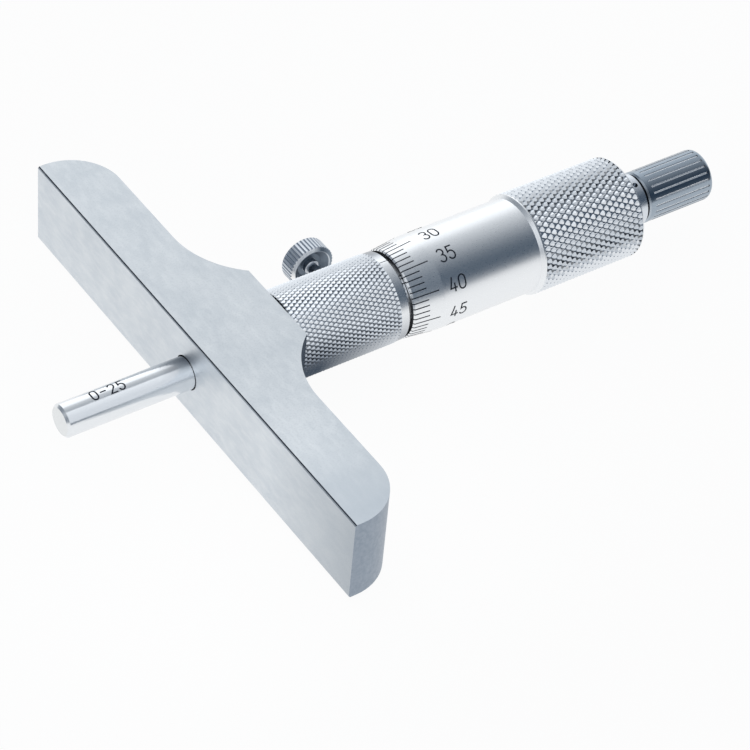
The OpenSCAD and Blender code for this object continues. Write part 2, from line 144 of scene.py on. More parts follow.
# Engraved marks
zero_offset = 0.12
tick_w = 0.2
short_tick_len = 3
long_tick_len = 5.2
numbers_from_edge = 9.15
fine_w = 0.1
scale_tick_len = 1.8
scale_long_share = 1.4
scale_number_drop = 3.9
scale_overrun = 0.6
line_margin = 0.05
tick_margin = 0.03
range_from_tip = 9.018
range_angle = 92.5
Digits = namedtuple("Digits", "width height step stroke")
THIMBLE_DIGITS = Digits(width=1.3, height=2.5, step=1.85, stroke=0.27)
SLEEVE_DIGITS = Digits(width=0.8, height=1.5, step=1.05, stroke=0.17)
ROD_DIGITS = Digits(width=1.1, height=2.2, step=1.7, stroke=0.27)

# Ratchet spring
wire_r = 0.2
spring_turns = 5


# Meshes

LATHE_SEGMENTS = 192
WIRE_SIDES = 12
WIRE_STEPS = 32
TURNED_CREASE = 4
WIRE_CREASE = 50
STROKE_LIFT = 0.02
STROKE_STEP = 0.25
STROKE_CAP_SHARE = 0.8
MITRE_LIMIT = 0.5


def around(radius, angle, y):
    """The point at that radius and angle round the rod's axis."""
    turn = math.radians(angle)
    return (radius * math.cos(turn), y, radius * math.sin(turn))


def finely(line):
    """The same line with more points, so that it follows the curved surface."""
    result = [line[0]]
    for start, end in zip(line, line[1:]):
        parts = max(1, math.ceil(abs(end[1] - start[1]) / STROKE_STEP))
        for k in range(1, parts + 1):
            result.append(tuple(a + (b - a) * k / parts for a, b in zip(start, end)))
    return result


class Shape:
    """Points in millimetres and faces of a piece in the making."""

    def __init__(self):
        self.points = []
        self.faces = []

    def build(self, name, crease=TURNED_CREASE):
        """The mesh object, smooth but for edges sharper than the crease angle."""
        mesh = bpy.data.meshes.new(name)
        mesh.from_pydata([Vector(p) * MM for p in self.points], [], self.faces)
        mesh.validate()
        work = bmesh.new()
        work.from_mesh(mesh)
        bmesh.ops.recalc_face_normals(work, faces=work.faces)
        work.to_mesh(mesh)
        work.free()
        mesh.polygons.foreach_set("use_smooth", [True] * len(mesh.polygons))
        mesh.set_sharp_from_angle(angle=math.radians(crease))
        obj = bpy.data.objects.new(name, mesh)
        bpy.context.scene.collection.objects.link(obj)
        return obj

    def lathe(self, profile):
        """Adds a closed solid of revolution round the rod's axis; profile holds (radius, y) pairs."""
        first = len(self.points)
        count = len(profile)
        for step in range(LATHE_SEGMENTS):
            self.points += [around(r, 360 * step / LATHE_SEGMENTS, y) for r, y in profile]
        for step in range(LATHE_SEGMENTS):
            here = first + step * count
            there = first + (step + 1) % LATHE_SEGMENTS * count
            for k in range(count):
                after = (k + 1) % count
                self.faces.append((here + k, here + after, there + after, there + k))

    def knurl(self, knurl):
        """Adds a sleeve of diamond pyramids with V grooves between them.

        The grooves cross at even places of a lattice of half cells. A diamond stands at each odd place.
        """
        wide = 2 * knurl.columns
        tall = 2 * knurl.rows
        low_r = knurl.top_r - knurl.depth
        index = {}

        def lattice(column, row, radius):
            key = (round(column % wide, 3), round(row, 3), radius)
            if key not in index:
                index[key] = len(self.points)
                y = knurl.start + (knurl.end - knurl.start) * row / tall
                self.points.append(around(radius, 360 * column / wide, y))
            return index[key]

        def valley(column, row):
            return lattice(column, row, low_r)

        def pad(column, row):
            return lattice(column, row, low_r + knurl.depth * knurl.pad_height_share)

        def seat(column, row):
            return lattice(column, row, low_r - knurl_seat)

        for row in range(tall + 1):
            for column in range((row + 1) % 2, wide, 2):
                outer = [(column - 1, row), (column, row - 1), (column + 1, row), (column, row + 1)]
                inner = [(column + (c - column) * knurl.pad_share, row + (r - row) * knurl.pad_share)
                         for c, r in outer]
                tip = lattice(column, row, knurl.top_r)
                for k in range(4):
                    after = (k + 1) % 4
                    if min(outer[k][1], outer[after][1]) < 0 or max(outer[k][1], outer[after][1]) > tall:
                        continue
                    a, b = valley(*outer[k]), valley(*outer[after])
                    c, d = pad(*inner[k]), pad(*inner[after])
                    self.faces.append((a, c, d, b))
                    self.faces.append((c, tip, d))
                if row in (0, tall):
                    left, right = outer[0], outer[2]
                    self.faces.append((valley(*left), pad(*inner[0]), tip, pad(*inner[2]), valley(*right),
                                       seat(*right), seat(*left)))
        for column in range(0, wide, 2):
            after = column + 2
            self.faces.append((seat(column, 0), seat(after, 0), seat(after, tall), seat(column, tall)))

    def stroke(self, line, width, radius_at, angle):
        """Adds one closed thin band on a turned surface, along a line of (y, distance round) points."""
        line = finely(line)
        last = len(line) - 1
        first = len(self.points)
        for k, here in enumerate(line):
            here = Vector(here)
            into = (here - Vector(line[max(k - 1, 0)])).normalized()
            out = (Vector(line[min(k + 1, last)]) - here).normalized()
            if k == 0:
                into = out
            if k == last:
                out = into
            along = (into + out).normalized()
            normal = Vector((-along.y, along.x))
            reach = width / 2 / max(normal.dot(Vector((-into.y, into.x))), MITRE_LIMIT)
            cap = 1 if k == last else -1 if k == 0 else 0
            centre = here + along * (width / 2) * cap * STROKE_CAP_SHARE
            for lift in (STROKE_LIFT, -STROKE_LIFT):
                for side in (centre + normal * reach, centre - normal * reach):
                    radius = radius_at(side.x)
                    turned = angle + math.degrees(side.y / radius)
                    self.points.append(around(radius + lift, turned, side.x))
        for k in range(last):
            a = first + 4 * k
            b = a + 4
            self.faces += [(a, b, b + 1, a + 1), (a + 2, a + 3, b + 3, b + 2)]
            self.faces += [(a, a + 2, b + 2, b), (a + 1, b + 1, b + 3, a + 3)]
        end = first + 4 * last
        self.faces += [(first, first + 1, first + 3, first + 2), (end, end + 2, end + 3, end + 1)]

    def write(self, text, y_mid, digits, radius_at, angle):
        """Adds digits that read along +Y, their tops towards growing angles."""
        start = y_mid - digits.step * (len(text) - 1) / 2 - digits.width / 2
        for place, sign in enumerate(text):
            for line in DIGIT_LINES[sign]:
                laid = [(start + place * digits.step + x * digits.width, (y - 0.5) * digits.height)
                        for x, y in line]
                self.stroke(laid, digits.stroke, radius_at, angle)


def arc(cx, cy, rx, ry, start, end, steps=10):
    """Points of an elliptic arc from one angle to another."""
    angles = [math.radians(start + (end - start) * k / steps) for k in range(steps + 1)]
    return [(cx + rx * math.cos(a), cy + ry * math.sin(a)) for a in angles]


# Each digit is one or two lines in a box of width 1 and height 1
DIGIT_LINES = {
    "0": [arc(0.5, 0.7, 0.5, 0.3, 180, 0) + arc(0.5, 0.3, 0.5, 0.3, 0, -180) + [(0, 0.7)]],
    "1": [[(0.2, 0.78), (0.58, 1), (0.58, 0)]],
    "2": [arc(0.5, 0.72, 0.46, 0.28, 165, -35) + [(0, 0), (1, 0)]],
    "3": [arc(0.46, 0.76, 0.44, 0.24, 150, -90) + arc(0.46, 0.27, 0.5, 0.27, 80, -150)],
    "4": [[(0.42, 1), (0, 0.25), (1, 0.25)], [(0.72, 0.55), (0.72, 0)]],
    "5": [[(0.9, 1), (0.18, 1), (0.1, 0.56)] + arc(0.46, 0.32, 0.52, 0.32, 115, -150)],
    "-": [[(0.1, 0.5), (0.9, 0.5)]],
}


# Shading

class Shading:
    """The nodes of one material or world, with short ways to add and link them."""

    def __init__(self, owner):
        owner.use_nodes = True
        self.owner = owner
        self.nodes = owner.node_tree.nodes
        self.links = owner.node_tree.links

    def add(self, kind, **options):
        """A new node with its options set."""
        node = self.nodes.new("ShaderNode" + kind)
        for name, value in options.items():
            setattr(node, name, value)
        return node

    def feed(self, socket, value):
        """Links another node's output to an input, or sets the input to a number, vector or colour."""
        if isinstance(value, bpy.types.NodeSocket):
            self.links.new(value, socket)
        elif socket.type == "RGBA":
            socket.default_value = (*value, 1)
        else:
            socket.default_value = value

    def result(self, node, values, output):
        """A node's output, once its first inputs are fed."""
        for socket, value in zip(node.inputs, values):
            self.feed(socket, value)
        return node.outputs[output]

    def calc(self, operation, *values):
        """The result of a math node."""
        return self.result(self.add("Math", operation=operation), values, "Value")

    def vector(self, operation, *values):
        """The vector that a vector math node gives."""
        return self.result(self.add("VectorMath", operation=operation), values, "Vector")

    def measure(self, operation, *values):
        """The number that a vector math node gives."""
        return self.result(self.add("VectorMath", operation=operation), values, "Value")

    def inverse(self, value):
        """One minus the value."""
        return self.calc("SUBTRACT", 1, value)

    def spread(self, value, low, high, from_low=0.3, from_high=0.7, kind="LINEAR"):
        """Maps a value from one range to another, and keeps it inside."""
        remap = self.add("MapRange", interpolation_type=kind)
        return self.result(remap, (value, from_low, from_high, low, high), "Result")

    def blend(self, factor, first, second):
        """Mixes two colours, each an RGB triple or a socket."""
        mix = self.add("Mix", data_type="RGBA")
        self.feed(mix.inputs["Factor"], factor)
        self.feed(mix.inputs[6], first)
        self.feed(mix.inputs[7], second)
        return mix.outputs[2]

    def coordinates(self, stretch=(1, 1, 1)):
        """Object coordinates in millimetres, stretched along each axis."""
        mapping = self.add("Mapping")
        self.feed(mapping.inputs["Vector"], self.point())
        self.feed(mapping.inputs["Scale"], [s / MM for s in stretch])
        return mapping.outputs["Vector"]

    def point(self):
        """Object coordinates in metres."""
        return self.add("TexCoord").outputs["Object"]

    def split(self, vector):
        """The three parts of a vector."""
        node = self.add("SeparateXYZ")
        self.feed(node.inputs["Vector"], vector)
        return node.outputs

    def noise(self, vector, scale, detail):
        """A noise texture's value; scale counts features a millimetre."""
        texture = self.add("TexNoise")
        self.feed(texture.inputs["Vector"], vector)
        self.feed(texture.inputs["Scale"], scale)
        self.feed(texture.inputs["Detail"], detail)
        return texture.outputs["Fac"]

    def radius(self, across=(1, 0, 1), centre=(0, 0, 0)):
        """Distance from an axis through the centre, in millimetres; across is 0 along that axis."""
        place = self.vector("SUBTRACT", self.point(), [c * MM for c in centre])
        return self.measure("LENGTH", self.vector("MULTIPLY", place, [a / MM for a in across]))

    def facing(self, axis, low, high):
        """How far the surface faces along an axis, as 0 to 1 between two cosines."""
        normal = self.add("NewGeometry").outputs["True Normal"]
        return self.spread(self.measure("DOT_PRODUCT", normal, axis), 0, 1, low, high)

    def place(self, axis, low, high):
        """Where a point lies along an axis, as 0 to 1 between two places in millimetres."""
        along = self.measure("DOT_PRODUCT", self.point(), [a / MM for a in axis])
        return self.spread(along, 0, 1, low, high)


class Finish(Shading):
    """A new material, built round its Principled shader."""

    def __init__(self, name):
        super().__init__(bpy.data.materials.new(name))
        self.shader = self.nodes["Principled BSDF"]

    def set(self, name, value):
        """Feeds one of the shader's inputs."""
        self.feed(self.shader.inputs[name], value)

    def finish(self, colour, roughness, metallic=1):
        """Feeds the shader's main inputs and gives the material."""
        self.set("Base Color", colour)
        self.set("Roughness", roughness)
        self.set("Metallic", metallic)
        return self.owner

    def bump(self, height, depth, strength):
        """Bumps the shader by a height value; depth is in millimetres."""
        node = self.add("Bump")
        self.feed(node.inputs["Height"], height)
        self.feed(node.inputs["Distance"], depth * MM)
        self.feed(node.inputs["Strength"], strength)
        self.set("Normal", node.outputs["Normal"])


# Colours, gloss and directions that several materials share
# Colour of painted shade on faces down in a narrow gap
PAINTED_GAP_SHADE = (0.012, 0.016, 0.024)
CHROME_TONES = ((0.84, 0.865, 0.89), (0.9, 0.92, 0.94))
CHROME_ROUGH = (0.27, 0.34)
TOWARDS_FRONT = (0, -1, 0)

UPWARD = (0, 0, 1)
DOWNWARD = (0, 0, -1)
TOWARDS_RIGHT = (1, 0, 0)
TOWARDS_LEFT = (-1, 0, 0)
TOWARDS_REAR = (0, 1, 0)

# A reach is the stretch over which a tone changes: two places along a direction, or two radii.
# Base: painted shade towards the right end along X, painted shade on the walls round the neck by radius,
# and a painted dark line of shade on the front's upper edge
front_end_reach = (26, 52)
top_end_reach = (30, 48)
neck_reach = (22, 32)
edge_line_start = base_high[2] - 0.17
edge_line_reach = (edge_line_start, edge_line_start + 0.03)

# Collar: painted shade down in the groove, on the ring's left and low sides, and on the side of the knurl
# beside the base
groove_reach = (collar_r - 0.38, collar_r - 0.22)
ring_left_reach = (0.6, 2.6)
ring_low_reach = (-2.4, 3.4)
SHADED_DIRECTION = (0.866, 0, -0.5)
shaded_reach = (2.2, 8)
shaded_front_reach = (-42, -22)

# Thimble: its front face carries painted shade, and a painted fan of light on this side of the rod's axis
lit_angle = math.radians(48)
LIT_DIRECTION = (math.cos(lit_angle), 0, math.sin(lit_angle))
lit_reach = (7.2, 7.75)

# Rod: painted shade on the upper side where it enters the base
ENTRY_DIRECTION = (-0.26, 0, 0.97)
entry_reach = (-6, 0.5)
entry_side_reach = (1.6, 2.7)

# Ratchet knob: the flutes, painted lighter as a highlight, and the plain margins behind and in front of
# them
flute_reach = (knob_r - 0.1, knob_r - 0.01)
rear_margin_reach = (knob_end - 1.05, knob_end - 0.95)
front_margin_reach = (-knob_start - 0.8, -knob_start - 0.7)

# Lock knob: on this side of its face the rim carries a painted highlight and the dish a painted shadow
lock_angle = math.radians(150)
LOCK_DIRECTION = (0, math.cos(lock_angle), math.sin(lock_angle))
lock_centre = lock_y * math.cos(lock_angle)
lock_lit_reach = (lock_centre + 0.4, lock_centre + 2)
lock_shade_reach = (lock_centre + 2, lock_centre + 3.2)
lock_groove_reach = (lock_r - 0.15, lock_r - 0.01)
lock_boss_r = 1.44
lock_dish_r = 3.44
lock_rim_edge_r = 3.62


def steel(name, tones, rough, stretch=(1, 1, 1), blotches=2, depth=0.004):
    """Machined or ground metal: blotches of two close tones, uneven gloss and fine grain."""
    s = Finish(name)
    vector = s.coordinates(stretch)
    blotch = s.noise(vector, blotches, 5)
    fine = s.noise(vector, scale=9, detail=2)
    s.bump(fine, depth, 0.6)
    return s.finish(s.blend(blotch, *tones), s.spread(fine, *rough))


def base_material():
    """Ground broad sides and front, darker milled walls, painted shade towards the right end and round
    the neck, and a painted dark line of shade where the ground faces meet.
    """
    s = Finish("ground_base")
    vector = s.coordinates()
    cloud = s.spread(s.noise(vector, scale=0.14, detail=5), 0, 1, 0.35, 0.65)
    streak = s.noise(s.coordinates((0.5, 1.2, 1.2)), scale=0.7, detail=4)
    speck = s.noise(vector, scale=3, detail=9)
    grit = s.spread(s.noise(vector, scale=1.3, detail=9), 0, 1, 0.35, 0.65)
    light_streak = s.spread(streak, 0, 0.3, 0.42, 0.68)
    # Painted shade: the top and front grow darker towards the right end
    painted_end_shade = (0.36, 0.4, 0.44)

    top = s.blend(cloud, (0.56, 0.6, 0.635), (0.62, 0.655, 0.685))
    top = s.blend(light_streak, top, (0.76, 0.79, 0.81))
    top = s.blend(s.spread(speck, 0.2, 0, 0.34, 0.52), top, (0.34, 0.38, 0.42))
    top = s.blend(s.calc("MULTIPLY", s.place(TOWARDS_RIGHT, *top_end_reach), 0.8), top, painted_end_shade)
    front = s.blend(cloud, (0.63, 0.68, 0.73), (0.7, 0.745, 0.785))
    front = s.blend(light_streak, front, (0.86, 0.88, 0.9))
    front_end = s.calc("MULTIPLY", s.place(TOWARDS_RIGHT, *front_end_reach), 0.75)
    front = s.blend(front_end, front, painted_end_shade)
    wall = s.blend(grit, (0.275, 0.325, 0.39), (0.325, 0.375, 0.44))
    # Painted shade on the walls round the neck: darker and without gloss near the rod's axis
    neck = s.blend(grit, (0.09, 0.11, 0.14), (0.13, 0.155, 0.19))
    painted_neck_shade = s.spread(s.radius(), 1, 0, *neck_reach)
    wall = s.blend(painted_neck_shade, wall, neck)

    broad = s.calc("MAXIMUM", s.facing(UPWARD, 0.4, 0.6), s.facing(DOWNWARD, 0.4, 0.6))
    forward = s.facing(TOWARDS_FRONT, 0.6, 0.8)
    faces = s.blend(forward, s.blend(broad, wall, top), front)
    # Painted shade: a dark line on the chamfer along the front's upper edge
    edge = s.calc("MULTIPLY", s.facing(TOWARDS_FRONT, 0.3, 0.5), s.facing(UPWARD, 0.3, 0.5))
    edge = s.calc("MULTIPLY", edge, s.place(UPWARD, *edge_line_reach))
    colour = s.blend(edge, faces, (0.035, 0.045, 0.065))
    glossy = s.inverse(s.calc("MULTIPLY", painted_neck_shade, s.inverse(s.calc("MAXIMUM", broad, forward))))
    s.set("Specular IOR Level", s.calc("MULTIPLY", glossy, 0.5))
    s.bump(s.calc("ADD", streak, speck), depth=0.012, strength=0.7)
    return s.finish(colour, s.spread(speck, 0.34, 0.46), glossy)


def knurl_material(name, tones, rough, knurl, shaded=False):
    """Satin chrome facets, with painted shade in the pits at the grooves' crossings and, if asked, on one
    side.
    """
    s = Finish(name)
    fine = s.noise(s.coordinates(), scale=6, detail=3)
    x, y, z = s.split(s.point())
    across = s.calc("COSINE", s.calc("MULTIPLY", s.calc("ARCTAN2", z, x), knurl.columns))
    travel = s.calc("SUBTRACT", y, knurl.start * MM)
    travel = s.calc("MULTIPLY", travel, TAU * knurl.rows / ((knurl.end - knurl.start) * MM))
    # Painted shade in the pits where the grooves cross
    painted_pit_shade = s.calc("MULTIPLY", across, s.calc("COSINE", travel))
    colour = s.blend(s.spread(painted_pit_shade, 0, 1, 0.55, 0.92), s.blend(fine, *tones), (0.15, 0.185, 0.24))
    # Painted shade on the side of the collar's knurl beside the base
    if shaded:
        side = s.place(SHADED_DIRECTION, *shaded_reach)
        low = s.calc("MULTIPLY", side, s.place(TOWARDS_FRONT, *shaded_front_reach))
        colour = s.blend(low, colour, (0.06, 0.08, 0.11))
    s.bump(fine, depth=0.002, strength=0.5)
    return s.finish(colour, s.spread(fine, *rough))


def collar_material():
    """Satin chrome, with painted shade down in the groove and the gap, and on two sides of the ring."""
    s = Finish("collar_chrome")
    fine = s.noise(s.coordinates((1, 0.25, 1)), scale=9, detail=2)
    # Painted shade on the ring's left and low sides
    sides = s.calc("MAXIMUM", s.place(TOWARDS_LEFT, *ring_left_reach), s.place(DOWNWARD, *ring_low_reach))
    plain = s.blend(s.calc("MULTIPLY", sides, 0.75), s.blend(fine, *CHROME_TONES), (0.2, 0.23, 0.27))
    # Painted shade on faces at small radius: down in the groove and in the gap behind the ring
    deep = s.spread(s.radius(), 1, 0, *groove_reach)
    s.bump(fine, depth=0.002, strength=0.6)
    return s.finish(s.blend(deep, plain, PAINTED_GAP_SHADE), s.spread(fine, *CHROME_ROUGH))


def thimble_material():
    """Satin chrome, with painted shade on its front face in the narrow gap, and a lighter painted fan of
    light on one side of it.
    """
    s = Finish("thimble_chrome")
    fine = s.noise(s.coordinates((1, 0.25, 1)), scale=9, detail=2)
    # Painted shade on the front face, with a painted fan of light on one side
    deep = s.blend(s.place(LIT_DIRECTION, *lit_reach), PAINTED_GAP_SHADE, (0.8, 0.83, 0.87))
    colour = s.blend(s.facing(TOWARDS_FRONT, 0.9, 0.98), s.blend(fine, *CHROME_TONES), deep)
    s.bump(fine, depth=0.0005, strength=0.3)
    return s.finish(colour, s.spread(fine, *CHROME_ROUGH))


def rod_material():
    """Ground and polished steel, with painted shade on its upper side where it enters the base."""
    s = Finish("ground_rod")
    vector = s.coordinates((1, 0.1, 1))
    blotch = s.noise(vector, scale=2, detail=5)
    fine = s.noise(vector, scale=9, detail=2)
    plain = s.blend(blotch, (0.8, 0.83, 0.86), (0.88, 0.9, 0.92))
    plain = s.blend(s.facing(TOWARDS_FRONT, 0.9, 0.98), plain, (0.8, 0.82, 0.83))
    # Painted shade on the upper side near the base
    side = s.place(ENTRY_DIRECTION, *entry_side_reach)
    painted_entry_shade = s.calc("MULTIPLY", s.place(TOWARDS_REAR, *entry_reach), side)
    s.bump(fine, depth=0.001, strength=0.6)
    return s.finish(s.blend(painted_entry_shade, plain, (0.12, 0.14, 0.17)), s.spread(fine, 0.14, 0.22), 0.9)


def housing_material():
    """The ratchet housing's satin steel, with painted shade on its front faces, deep in a narrow gap."""
    s = Finish("satin_steel_painted_shade")
    fine = s.noise(s.coordinates((1, 0.3, 1)), scale=5, detail=4)
    plain = s.blend(fine, (0.64, 0.69, 0.75), (0.76, 0.8, 0.85))
    # Painted shade on the front faces in the gap
    colour = s.blend(s.facing(TOWARDS_FRONT, 0.8, 0.95), plain, PAINTED_GAP_SHADE)
    s.bump(fine, depth=0.002, strength=0.5)
    return s.finish(colour, s.spread(fine, 0.24, 0.32))


def knob_material():
    """The ratchet knob's satin steel, with a painted highlight down in the flutes and painted shade on
    its front face in the gap.
    """
    s = Finish("knob_steel")
    fine = s.noise(s.coordinates((1, 0.3, 1)), scale=5, detail=4)
    land = s.blend(fine, (0.3, 0.36, 0.425), (0.38, 0.44, 0.505))
    rear = s.place(TOWARDS_REAR, *rear_margin_reach)
    front = s.place(TOWARDS_FRONT, *front_margin_reach)
    plain_ends = s.calc("MAXIMUM", rear, s.calc("MULTIPLY", front, 0.8))
    # Painted highlight: the flutes are lighter and rougher than the lands
    flute = s.calc("MULTIPLY", s.spread(s.radius(), 1, 0, *flute_reach), s.inverse(plain_ends))
    colour = s.blend(flute, land, (0.92, 0.95, 0.98))
    # Painted shade on the front face in the gap
    colour = s.blend(s.facing(TOWARDS_FRONT, 0.8, 0.95), colour, PAINTED_GAP_SHADE)
    s.bump(fine, depth=0.002, strength=0.5)
    return s.finish(colour, s.calc("ADD", s.spread(fine, 0.16, 0.22), s.calc("MULTIPLY", flute, 0.2)))


def lock_knob_material():
    """Satin steel with painted shade in its straight grooves, a sloping rim with a painted highlight on
    one side, a slate dish in painted shade with a painted shadow, and a boss with a painted highlight in
    it.
    """
    s = Finish("lock_knob_steel")
    fine = s.noise(s.coordinates((0.4, 1, 1)), scale=5, detail=4)
    radius = s.radius((0, 1, 1), (0, lock_y, 0))

    def outside(edge, fade):
        """1 outside a radius and 0 inside it, with a short fade to either side."""
        return s.spread(radius, 0, 1, edge - fade, edge + fade)

    # Painted shade in the straight grooves
    groove = s.spread(radius, 1, 0, *lock_groove_reach)
    side = s.blend(groove, s.blend(fine, (0.6, 0.65, 0.71), (0.7, 0.74, 0.79)), (0.25, 0.29, 0.35))
    # Painted shade: the dish is slate, with a dark painted shadow on one side inside the rim
    slate = s.blend(fine, (0.21, 0.255, 0.31), (0.26, 0.305, 0.36))
    dish = s.blend(s.place(LOCK_DIRECTION, *lock_shade_reach), slate, (0.02, 0.03, 0.045))
    # Painted highlight on one side of the rim, painted reflection in slate on the rest, and a lighter
    # painted line on its inner edge
    rim = s.blend(s.place(LOCK_DIRECTION, *lock_lit_reach), (0.2, 0.245, 0.3), (1, 1, 1))
    rim = s.blend(s.inverse(outside(lock_rim_edge_r, 0.04)), rim, (0.62, 0.67, 0.72))
    # Painted highlight on the boss
    face = s.blend(outside(lock_boss_r, 0.02), (0.85, 0.88, 0.92), dish)
    face = s.blend(outside(lock_dish_r, 0.02), face, rim)
    wall = s.blend(outside(lock_dish_r + 0.01, 0.05), dish, side)
    inside = s.calc("LESS_THAN", radius, lock_dish_r - 0.02)
    s.bump(fine, depth=0.002, strength=0.5)
    return s.finish(s.blend(s.facing(TOWARDS_RIGHT, 0.3, 0.5), wall, face),
                    s.calc("ADD", s.spread(fine, 0.28, 0.36), s.calc("MULTIPLY", inside, 0.2)))


def ink_material():
    """Dull dark fill of the engraved lines and digits."""
    s = Finish("engraving_fill")
    fine = s.noise(s.coordinates(), scale=8, detail=2)
    s.set("Specular IOR Level", 0.2)
    colour = s.blend(fine, (0.005, 0.008, 0.016), (0.016, 0.022, 0.036))
    return s.finish(colour, s.spread(fine, 0.5, 0.7), 0)


def assign(obj, material):
    """Gives an object one material."""
    obj.data.materials.clear()
    obj.data.materials.append(material)


ink = ink_material()
satin_chrome = steel("satin_chrome", CHROME_TONES, CHROME_ROUGH, (1, 0.25, 1), 1.2, 0.002)
rod_steel = rod_material()
stem_steel = steel("lock_stem_steel", ((0.26, 0.3, 0.35), (0.36, 0.4, 0.45)), (0.2, 0.3), (1, 3, 1))
inner_steel = steel("machined_steel", ((0.42, 0.44, 0.47), (0.55, 0.57, 0.6)), (0.3, 0.45), (1, 3, 1))
black_steel = steel("blackened_steel", ((0.03, 0.03, 0.035), (0.06, 0.06, 0.07)), (0.35, 0.5), blotches=3)
spring_steel = steel("spring_wire", ((0.4, 0.42, 0.46), (0.55, 0.57, 0.6)), (0.2, 0.3), blotches=4)
brass = steel("machined_brass", ((0.62, 0.45, 0.19), (0.74, 0.56, 0.27)), (0.25, 0.4))

NODE_MATERIALS = {
    "base_plate": base_material(),
    "graduated_sleeve": satin_chrome,
    "knurled_collar": satin_chrome,
    "thimble": satin_chrome,
    "measuring_rod": rod_steel,
    "spindle": rod_steel,
    "ratchet_housing": housing_material(),
    "ratchet_knob": knob_material(),
    "lock_knob": lock_knob_material(),
    "lock_screw": stem_steel,
    "inner_barrel": inner_steel,
    "wear_nut": inner_steel,
    "rod_zero_nut": inner_steel,
    "rod_lock_nut": inner_steel,
    "ratchet_ring": inner_steel,
    "clutch_ring": inner_steel,
    "screw_washer": inner_steel,
    "ratchet_screw": black_steel,
    "barrel_set_screw": black_steel,
    "ratchet_spring": spring_steel,
    "lock_shoe": brass,
}
for node_name, node_material in NODE_MATERIALS.items():
    assign(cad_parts[node_name], node_material)


# Pieces

def knurled_shell(name, profile, knurl, plain, knurled, body, node):
    """A turned shell with a knurled grip, which stands for a CAD node."""
    shape = Shape()
    shape.lathe(profile)
    plain_faces = len(shape.faces)
    shape.knurl(knurl)
    shell = shape.build(name)
    shell.data.materials.append(plain)
    shell.data.materials.append(knurled)
    for face in shell.data.polygons[plain_faces:]:
        face.material_index = 1
        face.use_smooth = False
    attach(shell, body)
    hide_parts(node)


def make_collar():
    """The knurled collar, with a groove in front and its plain rear ring."""
    knurl = COLLAR_KNURL
    core_r = collar_r - knurl.depth - knurl_seat
    groove_r = collar_r - collar_groove_depth
    profile = [
        (collar_bore_r, collar_start), (groove_r, collar_start), (groove_r, collar_groove_end),
        (core_r, collar_groove_end), (core_r, collar_ring_start), (collar_ring_r, collar_ring_start),
        (collar_ring_r, collar_end - collar_edge), (collar_ring_r - collar_edge, collar_end),
        (collar_seat_r, collar_end), (collar_seat_r, sleeve_start), (collar_bore_r, sleeve_start),
    ]
    tones = ((0.73, 0.765, 0.81), (0.8, 0.835, 0.87))
    knurled = knurl_material("collar_knurl", tones, (0.24, 0.32), knurl, shaded=True)
    knurled_shell("collar_shell", profile, knurl, collar_material(), knurled, "frame", "knurled_collar")


def make_thimble():
    """The thimble: graduated bevel, smooth body, bright shoulder and knurled grip."""
    knurl = THIMBLE_KNURL
    core_r = grip_r - knurl.depth - knurl_seat
    rim_r = grip_r - grip_edge
    profile = [
        (thimble_bore_r, thimble_start), (front_r - front_edge, thimble_start),
        (front_r, thimble_start + front_edge), (body_r, bevel_end), (body_r, shoulder_start),
        (rim_r, shoulder_end), (rim_r, knurl.start), (core_r, knurl.start), (core_r, knurl.end),
        (rim_r, knurl.end), (rim_r, thimble_end - grip_edge), (rim_r - grip_edge, thimble_end),
        (socket_r, thimble_end), (socket_r, socket_start), (hub_hole_r, socket_start),
        (hub_bore_r, hub_start), (thimble_bore_r, hub_start),
    ]
    tones = ((0.72, 0.755, 0.8), (0.8, 0.835, 0.87))
    knurled = knurl_material("thimble_knurl", tones, (0.12, 0.2), knurl)
    knurled_shell("thimble_shell", profile, knurl, thimble_material(), knurled, "thimble", "thimble")


def finish_marks(shape, name, body):
    """Makes the engraved marks of one body."""
    marks = shape.build(name)
    assign(marks, ink)
    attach(marks, body)


def thimble_radius(y):
    """Outer radius of the thimble in front of its knurl."""
    past = y - thimble_start
    if past < front_edge:
        return front_r - front_edge + past
    share = min((past - front_edge) / (bevel_len - front_edge), 1)
    return front_r + (body_r - front_r) * share


def make_thimble_marks():
    """Fifty graduations round the bevel, each fifth one longer and numbered."""
    shape = Shape()
    for value in range(divisions):
        angle = index_angle - 360 / divisions * (value - index_value)
        numbered = value % number_each == 0
        end = thimble_start + (long_tick_len if numbered else short_tick_len)
        line = [(thimble_start + tick_margin, 0), (thimble_start + front_edge, 0), (end, 0)]
        shape.stroke(line, tick_w, thimble_radius, angle)
        if numbered:
            middle = thimble_start + numbers_from_edge
            shape.write(str(value), middle, THIMBLE_DIGITS, thimble_radius, angle)
    finish_marks(shape, "thimble_graduations", "thimble")


def make_sleeve_marks():
    """The datum line on the collar's ring and the sleeve, and the sleeve's scale under the thimble."""
    shape = Shape()
    zero = collar_end + zero_offset + full_reading

    def ring(y):
        return collar_ring_r

    def sleeve(y):
        return sleeve_r

    datum = [(collar_ring_start + line_margin, 0), (collar_end - collar_edge, 0)]
    shape.stroke(datum, fine_w, ring, index_angle)
    shape.stroke([(collar_end - line_margin, 0), (zero + scale_overrun, 0)], fine_w, sleeve, index_angle)
    for half in range(2 * full_reading + 1):
        y = zero - half * pitch
        numbered = half % (2 * number_each) == 0
        reach = scale_tick_len
        if half % 2 == 0:
            reach *= -(scale_long_share if numbered else 1)
        shape.stroke([(y, 0), (y, reach)], fine_w, sleeve, index_angle)
        if numbered:
            angle = index_angle - math.degrees(scale_number_drop / sleeve_r)
            shape.write(str(half // 2), y, SLEEVE_DIGITS, sleeve, angle)
    finish_marks(shape, "sleeve_graduations", "frame")


